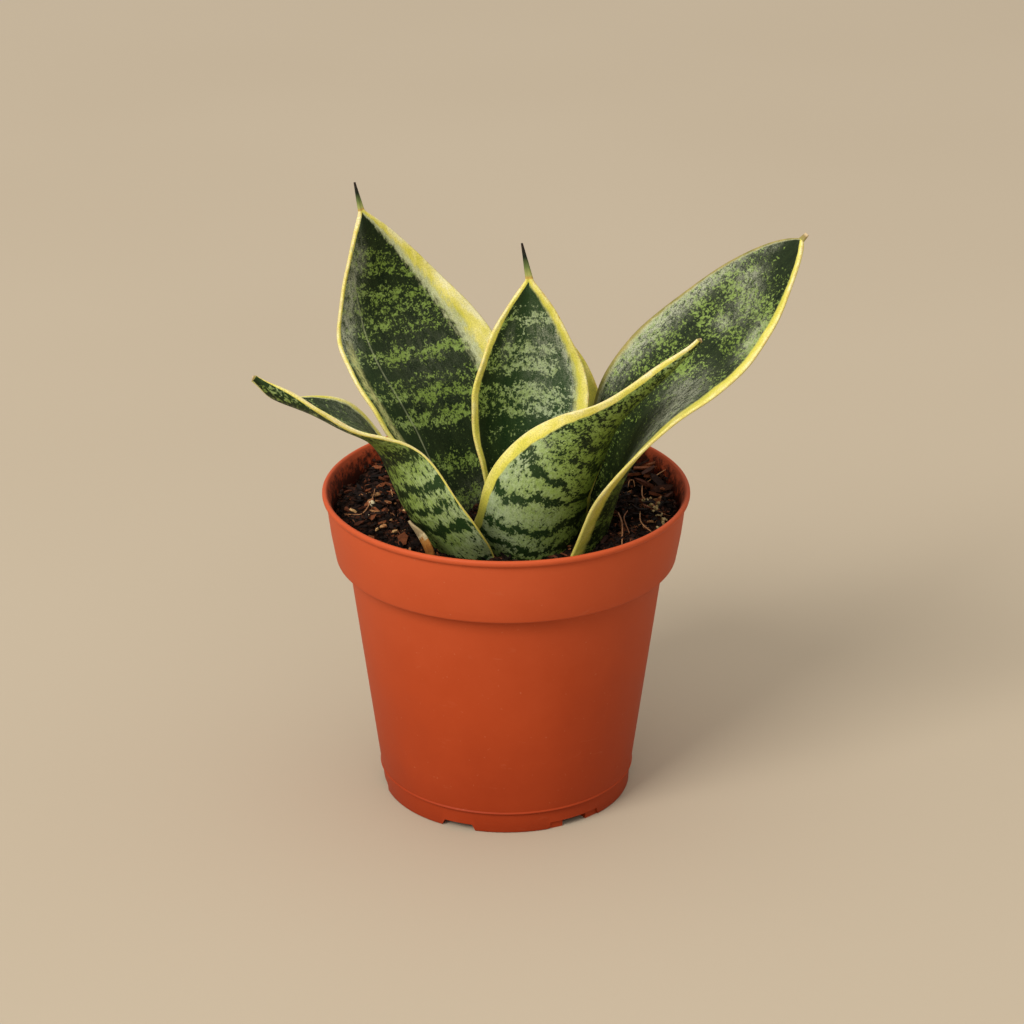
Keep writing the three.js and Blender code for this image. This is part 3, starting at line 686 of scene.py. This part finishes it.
def leaf_yellow(leaf):
    """The yellow of the margins, deeper towards the green, with a red fringe in places."""
    patches = pattern(leaf, 0.25, 0.12, 4.0, 0.65)
    ripeness = patches * 0.75 + leaf.rim * 0.22 + leaf.ripe * 0.17
    yellow = ripeness.ramp((0.34, (0.89, 0.82, 0.44)), (0.46, (0.82, 0.73, 0.20)),
                           (0.60, (0.70, 0.63, 0.09)), (0.78, (0.50, 0.50, 0.09)))
    yellow = yellow.mixed(leaf.dull, patches.ramp((0.38, (0.20, 0.19, 0.045)), (0.62, (0.38, 0.31, 0.10))))
    fringe = leaf.edge.ramp((0.06, 0.45), (0.26, 0.0)) * leaf.ragged.ramp((0.45, 0.0), (0.62, 1.0))
    return yellow.mixed(fringe, (0.62, 0.22, 0.07))


def margined(leaf, yellow, green):
    """The yellow margins round the green, with a ragged and paler line where they meet."""
    sway = pattern(leaf, 0.1, 0.14, 2.0).centred(0.5)
    depth = leaf.rim + leaf.ragged.centred(1.6) * leaf.soft + sway
    starts, ends = leaf.soft * -0.45 + 0.98, leaf.soft * 0.75 + 1.02
    share = wire(leaf.tree, "MapRange", depth, starts, ends, interpolation_type="SMOOTHSTEP")
    between = share * (1.0 - share) * (leaf.soft * leaf.ripe.ramp((0.0, 1.0), (0.5, 0.0)))
    paled = between * leaf.mottle.ramp((0.42, 0.6), (0.56, 1.0)) * 4.0
    return yellow.mixed(share, green).mixed(paled, (0.62, 0.66, 0.42))


def lined(leaf, colour):
    """The pale stripe, and the painted highlight along the fold line, that some leaves have."""
    flecks = pattern(leaf, 1.6, 0.5, 3.0, 0.7).ramp((0.38, 0.15), (0.56, 0.9))
    # A paler line painted along the fold, standing in for a highlight.
    line = abs(leaf.crease).ramp((0.06, 0.7), (0.42, 0.0)) * leaf.cloudy.ramp((0.35, 0.3), (0.6, 1.0))
    return colour.mixed(leaf.stripe * flecks, (0.50, 0.50, 0.19)).mixed(line, (0.33, 0.36, 0.20))


def spurred(leaf, colour):
    """The spur at the tip: a dark green awl, or a brown stub where it has withered."""
    awl = leaf.spur.ramp((0.0, (0.55, 0.30, 0.06)), (0.12, (0.33, 0.34, 0.10)), (0.35, (0.12, 0.16, 0.045)),
                         (0.62, (0.010, 0.015, 0.008)), (0.95, (0.02, 0.012, 0.008)))
    stub = leaf.spur.ramp((0.0, (0.30, 0.26, 0.07)), (0.6, (0.26, 0.19, 0.07)), (0.85, (0.56, 0.42, 0.24)))
    return colour.mixed(leaf.spur.ramp((0.0, 0.0), (0.03, 1.0)), awl.mixed(leaf.dry, stub))


def leaf_material():
    """A mottled leaf with yellow margins, by the attributes that each leaf carries."""
    material, tree = new_material("leaf_variegated")
    leaf = SimpleNamespace(tree=tree, **{name: attribute(tree, name) for name in LEAF_MARKS})
    leaf.place = attribute(tree, "place", "Vector")
    leaf.cells = attribute(tree, "cells", "Vector")
    leaf.fine = pattern(leaf, 3.0, 2.4, 3.0, 0.65)
    leaf.cloudy = pattern(leaf, 0.8, 0.3, 5.0, 0.7)
    leaf.ragged = pattern(leaf, 0.9, 0.35, 5.0, 0.7)
    leaf.mottle = leaf.cloudy * 0.55 + leaf.fine * 0.45
    colour = margined(leaf, leaf_yellow(leaf), leaf_green(leaf))
    colour = colour.mixed(1.0, leaf.fine.ramp((0.3, 0.62), (0.55, 0.95), (0.75, 1.0)), "MULTIPLY")
    colour = spurred(leaf, lined(leaf, colour))
    gloss = pattern(leaf, 0.5, 0.2, 3.0).ramp((0.3, 0.44), (0.7, 0.6))
    ribs = pattern(leaf, 2.0, 0.04, 2.0) + leaf.fine * 0.3
    surface(tree, colour, gloss, 0.13, ribs, 0.5, 0.0002)
    return material


def pot_material():
    """Terracotta-orange moulded plastic, a little dusty and scuffed, with painted shade that darkens it
    towards the foot and, nearly black, inside its collar below the lip.
    """
    material, tree = new_material("pot_plastic")
    place = object_place(tree)
    height = wire(tree, "SeparateXYZ", place, output="Z")
    cloud = place.noise(40.0, 4.0, 0.6)
    # Painted shade: the colour darkens from the collar down towards the foot.
    colour = (cloud * 0.4 + height * 8.0).ramp(
        (0.15, (0.290, 0.031, 0.0055)), (0.55, (0.405, 0.053, 0.0110)), (0.95, (0.505, 0.082, 0.0240)))
    colour = colour.mixed(place.noise(1100.0, 1.0).ramp((0.74, 0.0), (0.82, 0.35)), (0.52, 0.20, 0.10))
    dust = place.stretched(160.0, 160.0, 420.0).noise(1.0, 3.0, 0.6, 1.0)
    colour = colour.mixed(dust.ramp((0.66, 0.0), (0.8, 0.22)), (0.50, 0.15, 0.07))
    # Painted shade: inside the collar, below the lip, the colour is made nearly black, with a ragged upper
    # edge.
    inner_shade_reach = height * 10.0 + place.noise(420.0, 5.0, 0.75).centred(0.3)
    painted_inner_shade = inner_shade_reach.ramp((0.0, 0.95), (0.87, 0.92), (0.905, 0.35), (0.93, 0.0)) * attribute(tree, "collar_shade")
    colour = colour.mixed(painted_inner_shade, (0.012, 0.0045, 0.0025))
    surface(tree, colour, cloud.ramp((0.3, 0.5), (0.7, 0.62)), 0.15, place.noise(2200.0, 2.0), 0.25, 0.00006)
    return material


def soil_material():
    """Crumbly bark, in three tones."""
    material, tree = new_material("soil_bed")
    place = object_place(tree)
    tones = place.noise(500.0, 6.0, 0.7)
    crumbs = place.noise(1250.0, 5.0, 0.7)
    roughness = tones.ramp((0.3, 0.95), (0.7, 0.75))
    surface(tree, tones.ramp(*SOIL_TONES), roughness, 0.1, crumbs, 0.9, 0.0006)
    return material


def tinted_material(name, stops, roughness, grain_scale, depth):
    """A material whose tone is drawn for each piece of a scatter, with a grain of its own."""
    material, tree = new_material(name)
    grain = object_place(tree).noise(grain_scale, 4.0, 0.65)
    colour = (attribute(tree, "tone") + grain.centred(0.5)).ramp(*stops)
    surface(tree, colour, grain.ramp((0.3, roughness + 0.1), (0.7, roughness - 0.1)), 0.15, grain, 0.8, depth)
    return material


# ---- Pot ----

def notch_cutter(notch, turn):
    """A block, wider at its foot and round inside, that makes one cut."""
    columns, below = 12, -1.0
    points, faces = [], []
    for i in range(columns + 1):
        for half, z in ((notch["width"] / 2, below), (notch["top_width"] / 2, notch["height"])):
            x = half * (2 * i / columns - 1)
            points += [(x, -math.sqrt(notch["inner"] ** 2 - x * x), z), (x, -NOTCH_OUTER, z)]
    for a in range(0, 4 * columns, 4):
        b = a + 4
        faces += [(b, b + 1, a + 1, a), (b + 1, b + 3, a + 3, a + 1), (b + 3, b + 2, a + 2, a + 3),
                  (b + 2, b, a, a + 2)]
    end = 4 * columns
    faces += [(1, 3, 2, 0), (end + 2, end + 3, end + 1, end)]
    turn = math.radians(notch["angle"] + turn)
    cosine, sine = math.cos(turn), math.sin(turn)
    points = [(x * cosine - y * sine, x * sine + y * cosine, z) for x, y, z in points]
    return mesh_object("notch_cutter", points, faces, smooth=False)


def apply_modifiers(piece):
    """Replaces a piece's mesh with what its modifiers make of it."""
    graph = bpy.context.evaluated_depsgraph_get()
    piece.data = bpy.data.meshes.new_from_object(piece.evaluated_get(graph))
    piece.modifiers.clear()


def inside_of_collar(x, y, z):
    """1 on the inner side of the collar, below the lip, and 0 elsewhere."""
    low, high = INNER_COLLAR
    share = (z / MM - low[1]) / (high[1] - low[1])
    radius = low[0] + (high[0] - low[0]) * share
    return 1.0 if -0.5 < share < 1.02 and math.hypot(x, y) / MM < radius + 0.3 else 0.0


def make_pot():
    """The pot as one turned body, with its drain notches cut."""
    outline = POT_FOOT + POT_STEP + POT_BODY + POT_COLLAR + POT_RIM + POT_INSIDE
    points, faces = lathe(outline, POT_SIDES)
    pot = mesh_object("nursery_pot", points, faces)
    cutters = [notch_cutter(notch, turn) for turn in range(0, 360, NOTCH_SPACING) for notch in NOTCHES]
    for cutter in cutters:
        cut = pot.modifiers.new(cutter.name, "BOOLEAN")
        cut.object = cutter
        cut.operation = "DIFFERENCE"
        cut.solver = "EXACT"
    apply_modifiers(pot)
    for cutter in cutters:
        bpy.data.objects.remove(cutter)
    pot.data.materials.clear()
    pot.data.materials.append(pot_material())
    pot.data.set_sharp_from_angle(angle=math.radians(40))
    # The painted shade inside the collar goes only where this is 1.
    add_attribute(pot, "collar_shade", [inside_of_collar(*vertex.co) for vertex in pot.data.vertices])
    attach(pot, "root")
    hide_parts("pot")


# ---- Soil ----

def number_stream(seed):
    """A repeatable stream of numbers from 0 to 1."""
    state = seed
    while True:
        state = (state * 1664525 + 1013904223) % 4294967296
        yield state / 4294967296


def soil_relief():
    """The height of the soil's surface above its level, as a function of x and y."""
    draw = number_stream(SEED + 1)
    waves = []
    for _ in range(SOIL_LUMPS["waves"]):
        shortest, longest = SOIL_LUMPS["shortest"], SOIL_LUMPS["longest"]
        length = shortest + (longest - shortest) * next(draw)
        waves.append((math.pi * next(draw), 2 * math.pi * next(draw), 2 * math.pi / length))

    def height(x, y):
        dip = SOIL_DIP
        distance = math.hypot((x - dip["x"]) / dip["reach_x"], (y - dip["y"]) / dip["reach_y"])
        found = -dip["depth"] * math.exp(-distance * distance)
        for angle, phase, rate in waves:
            reach = x * math.cos(angle) + y * math.sin(angle)
            found += SOIL_LUMPS["height"] * math.cos(rate * reach + phase)
        return found

    return height


SOIL_HEIGHT = soil_relief()


def soil_top(x, y):
    """The height of the crumbly surface at a point."""
    fine = noise.fractal(Vector((x * 0.35, y * 0.35, 3.0)), 0.6, 2.2, 4)
    edge = max(0.0, math.hypot(x, y) - 45.5)
    return SOIL_LEVEL + SOIL_HEIGHT(x, y) + 0.8 * fine - 0.25 * edge


def make_soil():
    """The body of the soil, with a crumbly surface."""
    surface_rings = [[SOIL_EDGE - SOIL_RING_WIDTH * i, SOIL_LEVEL] for i in range(SOIL_RINGS)]
    points, faces = lathe(SOIL_SIDE + surface_rings + [[0, SOIL_LEVEL]], SOIL_SIDES)
    points = [(x, y, soil_top(x, y)) if z > SOIL_LEVEL - 0.01 else (x, y, z) for x, y, z in points]
    soil = mesh_object("soil_bed", points, faces)
    soil.data.materials.append(soil_material())
    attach(soil, "root")
    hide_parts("soil")


class Scatter:
    """Many small bodies gathered into one piece, each with a tone of its own."""

    def __init__(self, name):
        self.name = name
        self.points, self.faces, self.tones = [], [], []

    def add(self, points, faces, tone):
        first = len(self.points)
        self.points.extend(points)
        self.faces.extend(tuple(first + i for i in face) for face in faces)
        self.tones.extend([tone] * len(points))

    def piece(self, material, smooth):
        made = mesh_object(self.name, self.points, self.faces, smooth)
        add_attribute(made, "tone", self.tones)
        made.data.materials.append(material)
        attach(made, "root")
        return made


def spot_on_soil(rng, reach=SOIL_EDGE - 1.5):
    """A random point on the soil's surface."""
    radius, angle = reach * math.sqrt(rng.random()), 2 * math.pi * rng.random()
    x, y = radius * math.cos(angle), radius * math.sin(angle)
    return Vector((x, y, soil_top(x, y)))


def turned_frame(rng, tilt):
    """Three directions, turned by any amount about Z and tilted by up to tilt degrees."""
    yaw, lean, way = 2 * math.pi * rng.random(), math.radians(tilt * rng.random()), 2 * math.pi * rng.random()
    up = Vector((math.sin(lean) * math.cos(way), math.sin(lean) * math.sin(way), math.cos(lean)))
    along = Vector((math.cos(yaw), math.sin(yaw), 0))
    along = (along - up * along.dot(up)).normalized()
    return along, up.cross(along), up


def chip(rng, centre, length, width, thick, tilt):
    """A flake of bark: a ragged outline with a top and a bottom that don't quite match."""
    along, side, up = turned_frame(rng, tilt)
    corners = 6
    points = []
    for level in (-0.5, 0.5):
        for i in range(corners):
            angle = 2 * math.pi * (i + 0.35 * rng.random()) / corners
            stretch = 0.5 * (0.75 + 0.5 * rng.random())
            offset = along * (length * stretch * math.cos(angle)) + side * (width * stretch * math.sin(angle))
            points.append(centre + offset + up * (thick * (level + 0.35 * (rng.random() - 0.5))))
    faces = [tuple(range(corners))[::-1], tuple(range(corners, 2 * corners))]
    faces += [(i, (i + 1) % corners, corners + (i + 1) % corners, corners + i) for i in range(corners)]
    return points, faces


def strand(points, radius, sides=5):
    """A thin tube along points, drawn out at both ends."""
    ring, faces = [], []
    last = len(points) - 1
    for i, point in enumerate(points):
        ahead = (points[min(i + 1, last)] - points[max(i - 1, 0)]).normalized()
        side = ahead.cross(Vector((0, 0, 1)))
        side = side.normalized() if side.length > 1e-4 else Vector((1, 0, 0))
        up = side.cross(ahead)
        size = radius * (0.35 + 0.65 * math.sin(math.pi * i / last) ** 0.4 if 0 < i < last else 0.3)
        for j in range(sides):
            angle = 2 * math.pi * j / sides
            ring.append(point + side * (size * math.cos(angle)) + up * (size * math.sin(angle)))
    for i in range(last):
        for j in range(sides):
            k = (j + 1) % sides
            faces.append((i * sides + j, i * sides + k, (i + 1) * sides + k, (i + 1) * sides + j))
    faces.append(tuple(range(sides))[::-1])
    faces.append(tuple(last * sides + j for j in range(sides)))
    return ring, faces


def fibre_route(rng, start, length, lift):
    """A curling line over the soil, that rises and comes down again."""
    heading, turn = 2 * math.pi * rng.random(), (rng.random() - 0.5) * 2.4
    steps = 9
    points, x, y = [], start.x, start.y
    for i in range(steps + 1):
        t = i / steps
        if math.hypot(x, y) > SOIL_EDGE - 1.2:
            break
        points.append(Vector((x, y, soil_top(x, y) + 0.15 + lift * math.sin(math.pi * t))))
        heading += turn / steps + 0.25 * (rng.random() - 0.5)
        x += length / steps * math.cos(heading)
        y += length / steps * math.sin(heading)
    return points


def pebble(rng, centre, radius):
    """A rounded grain with an uneven surface."""
    golden = (1 + math.sqrt(5)) / 2
    corners = [Vector(c).normalized() for c in (
        (-1, golden, 0), (1, golden, 0), (-1, -golden, 0), (1, -golden, 0),
        (0, -1, golden), (0, 1, golden), (0, -1, -golden), (0, 1, -golden),
        (golden, 0, -1), (golden, 0, 1), (-golden, 0, -1), (-golden, 0, 1))]
    faces = [(0, 11, 5), (0, 5, 1), (0, 1, 7), (0, 7, 10), (0, 10, 11), (1, 5, 9), (5, 11, 4),
             (11, 10, 2), (10, 7, 6), (7, 1, 8), (3, 9, 4), (3, 4, 2), (3, 2, 6), (3, 6, 8),
             (3, 8, 9), (4, 9, 5), (2, 4, 11), (6, 2, 10), (8, 6, 7), (9, 8, 1)]
    return [centre + c * (radius * (0.75 + 0.5 * rng.random())) for c in corners], faces


def make_flakes(rng, bark):
    """Bark flakes, and longer chips that stick up at the wall."""
    flakes = Scatter("soil_flakes")
    for _ in range(SCATTERED["flakes"]):
        size = rng.random() ** 2.2
        length, width, thick = 0.9 + 4.2 * size, 0.4 + 1.1 * size, 0.22 + 0.45 * size
        centre = spot_on_soil(rng, SOIL_EDGE - 1.5 - length / 2) + Vector((0, 0, 0.1 + 0.9 * rng.random()))
        flakes.add(*chip(rng, centre, length, width, thick, 62), 0.03 + 0.78 * rng.random() ** 3.2)
    for angle, radius, height, length, tone in WALL_BARK:
        turn = math.radians(angle)
        centre = Vector((radius * math.cos(turn), radius * math.sin(turn), height))
        flakes.add(*chip(rng, centre, length, length * 0.3, 0.7, 60), tone)
    for x, y, height, length, tone in PLACED_FLAKES:
        flakes.add(*chip(rng, Vector((x, y, height)), length, length * 0.45, 0.5, 25), tone)
    flakes.piece(bark, smooth=False)


def make_crumbs(rng, bark):
    """Crumbs all over the soil, and more of them that stick to the wall."""
    crumbs = Scatter("soil_crumbs")
    for _ in range(SCATTERED["crumbs"]):
        centre = spot_on_soil(rng, SOIL_EDGE - 0.9) + Vector((0, 0, 0.15))
        crumbs.add(*pebble(rng, centre, 0.2 + 0.45 * rng.random() ** 2), 0.62 * rng.random() ** 1.6)
    for _ in range(SCATTERED["wall_crumbs"]):
        angle, rise = 2 * math.pi * rng.random(), 2.6 * rng.random() ** 2
        x, y = (SOIL_EDGE - 0.9) * math.cos(angle), (SOIL_EDGE - 0.9) * math.sin(angle)
        centre = Vector((x, y, soil_top(x, y) + rise))
        crumbs.add(*pebble(rng, centre, 0.25 + 0.4 * rng.random()), 0.5 * rng.random())
    crumbs.piece(bark, smooth=False)


def make_fibres(rng):
    """Fine curling fibres."""
    fibres = Scatter("soil_fibres")
    for _ in range(SCATTERED["fibres"]):
        start = spot_on_soil(rng, SOIL_EDGE - 3)
        route = fibre_route(rng, start, 4 + 9 * rng.random(), 0.3 + 0.9 * rng.random())
        if len(route) > 3:
            fibres.add(*strand(route, 0.08 + 0.12 * rng.random()), 0.2 + 0.6 * rng.random())
    for radius, tone, points in PLACED_FIBRES:
        route = [Vector(p) for p in catmull(points, np.linspace(0, 1, 8 * len(points)))]
        fibres.add(*strand(route, radius), tone)
    fibres.piece(tinted_material("root_fibres", ROOT_TONES, 0.6, 700.0, 0.0001), smooth=True)


def make_grains(rng):
    """Pale grains, most of them gathered along a line at the right of the plant."""
    grains = Scatter("soil_grains")
    for _ in range(SCATTERED["grains"]):
        centre = spot_on_soil(rng, SOIL_EDGE - 2) + Vector((0, 0, 0.35))
        grains.add(*pebble(rng, centre, 0.2 + 0.4 * rng.random() ** 2), 0.2 + 0.6 * rng.random())
    for _ in range(SCATTERED["gathered_grains"]):
        along = rng.random()
        x, y = 40.3 + 4.7 * along + rng.gauss(0, 1.0), 2.6 - 17.6 * along + rng.gauss(0, 1.3)
        if math.hypot(x, y) < SOIL_EDGE - 1.6:
            centre = Vector((x, y, soil_top(x, y) + 0.5))
            grains.add(*pebble(rng, centre, 0.35 + 0.4 * rng.random()), 0.25 + 0.35 * rng.random())
    for x, y, height, radius, tone in PLACED_GRAINS:
        grains.add(*pebble(rng, Vector((x, y, height)), radius), tone)
    grains.piece(tinted_material("pale_grains", GRAIN_TONES, 0.7, 1200.0, 0.0001), smooth=True)


def make_soil_bits():
    """Everything that lies loose on the soil."""
    rng = random.Random(SEED)
    bark = tinted_material("bark_flakes", BARK_TONES, 0.8, 900.0, 0.0002)
    make_flakes(rng, bark)
    make_crumbs(rng, bark)
    make_fibres(rng)
    make_grains(rng)


# ---- Dry scale and rhizome ----

def make_scale():
    """The withered, papery first leaf."""
    piece, at = leaf_blade("dry_scale_blade", SCALE, SCALE_BLADE, 0.25, 9.0)
    add_attribute(piece, "tone", at.s + 0.04 * np.abs(at.v))
    piece.data.materials.append(tinted_material("dry_papery", SCALE_TONES, 0.7, 600.0, 0.0003))
    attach(piece, "root")
    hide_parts("dry_scale")


def dress_rhizome():
    """A dull, ringed skin for the hidden rhizome."""
    material, tree = new_material("rhizome_skin")
    rings = object_place(tree).stretched(120.0, 120.0, 700.0).noise(1.0, 4.0, 0.6)
    colour = rings.ramp((0.35, (0.24, 0.11, 0.04)), (0.65, (0.55, 0.31, 0.13)))
    surface(tree, colour, rings.ramp((0.3, 0.9), (0.7, 0.7)), 0.5, rings, 0.8, 0.0004)
    rhizome = bpy.data.objects["rhizome"]
    rhizome.data.materials.clear()
    rhizome.data.materials.append(material)


# ---- Floor, light and camera ----

def make_floor():
    """A plain pale floor."""
    floor = mesh_object("floor", FLOOR_CORNERS, [(0, 1, 2, 3)])
    material, tree = new_material("floor_pale")
    surface(tree, object_place(tree).noise(3.0).ramp(*FLOOR_TONES), 0.9)
    floor.data.materials.append(material)


def add_area_light(name, place, size, power, colour):
    """A soft square light that faces the plant."""
    data = bpy.data.lights.new(name, "AREA")
    data.shape = "SQUARE"
    data.size = size * MM
    data.energy = power
    data.color = colour
    light = bpy.data.objects.new(name, data)
    light.location = Vector(place) * MM
    light.rotation_euler = (Vector(LIGHT_AIM) - Vector(place)).to_track_quat("-Z", "Y").to_euler()
    bpy.context.scene.collection.objects.link(light)


def light_stage():
    """A soft key from the front left, a weak fill, and a surround that is brightest overhead."""
    for name, light in LIGHTS.items():
        add_area_light(name, **light)
    world = bpy.data.worlds.new("studio")
    bpy.context.scene.world = world
    world.use_nodes = True
    direction = wire(world.node_tree, "TexCoord", output="Generated")
    height = wire(world.node_tree, "SeparateXYZ", direction, output="Z")
    background = world.node_tree.nodes["Background"]
    feed(background.inputs[0], (height * 0.5 + 0.5).ramp(*SKY_TONES))
    background.inputs[1].default_value = SKY_STRENGTH
    bpy.context.scene.view_settings.view_transform = "Standard"


def make_camera():
    """The photograph's camera."""
    data = bpy.data.cameras.new("camera")
    data.lens = CAMERA_LENS
    data.sensor_width = CAMERA_SENSOR
    data.clip_end = 30.0
    camera = bpy.data.objects.new("camera", data)
    forward = Vector((0, math.cos(CAMERA_PITCH), -math.sin(CAMERA_PITCH)))
    camera.location = (Vector(CAMERA_AIM) - forward * CAMERA_DISTANCE) * MM
    camera.rotation_euler = (math.pi / 2 - CAMERA_PITCH, 0, 0)
    bpy.context.scene.collection.objects.link(camera)
    bpy.context.scene.camera = camera


make_camera()
light_stage()
make_floor()
make_pot()
make_soil()
make_soil_bits()
variegated = leaf_material()
for order, leaf_name in enumerate(LEAVES):
    make_leaf(leaf_name, order).data.materials.append(variegated)
make_scale()
dress_rhizome()
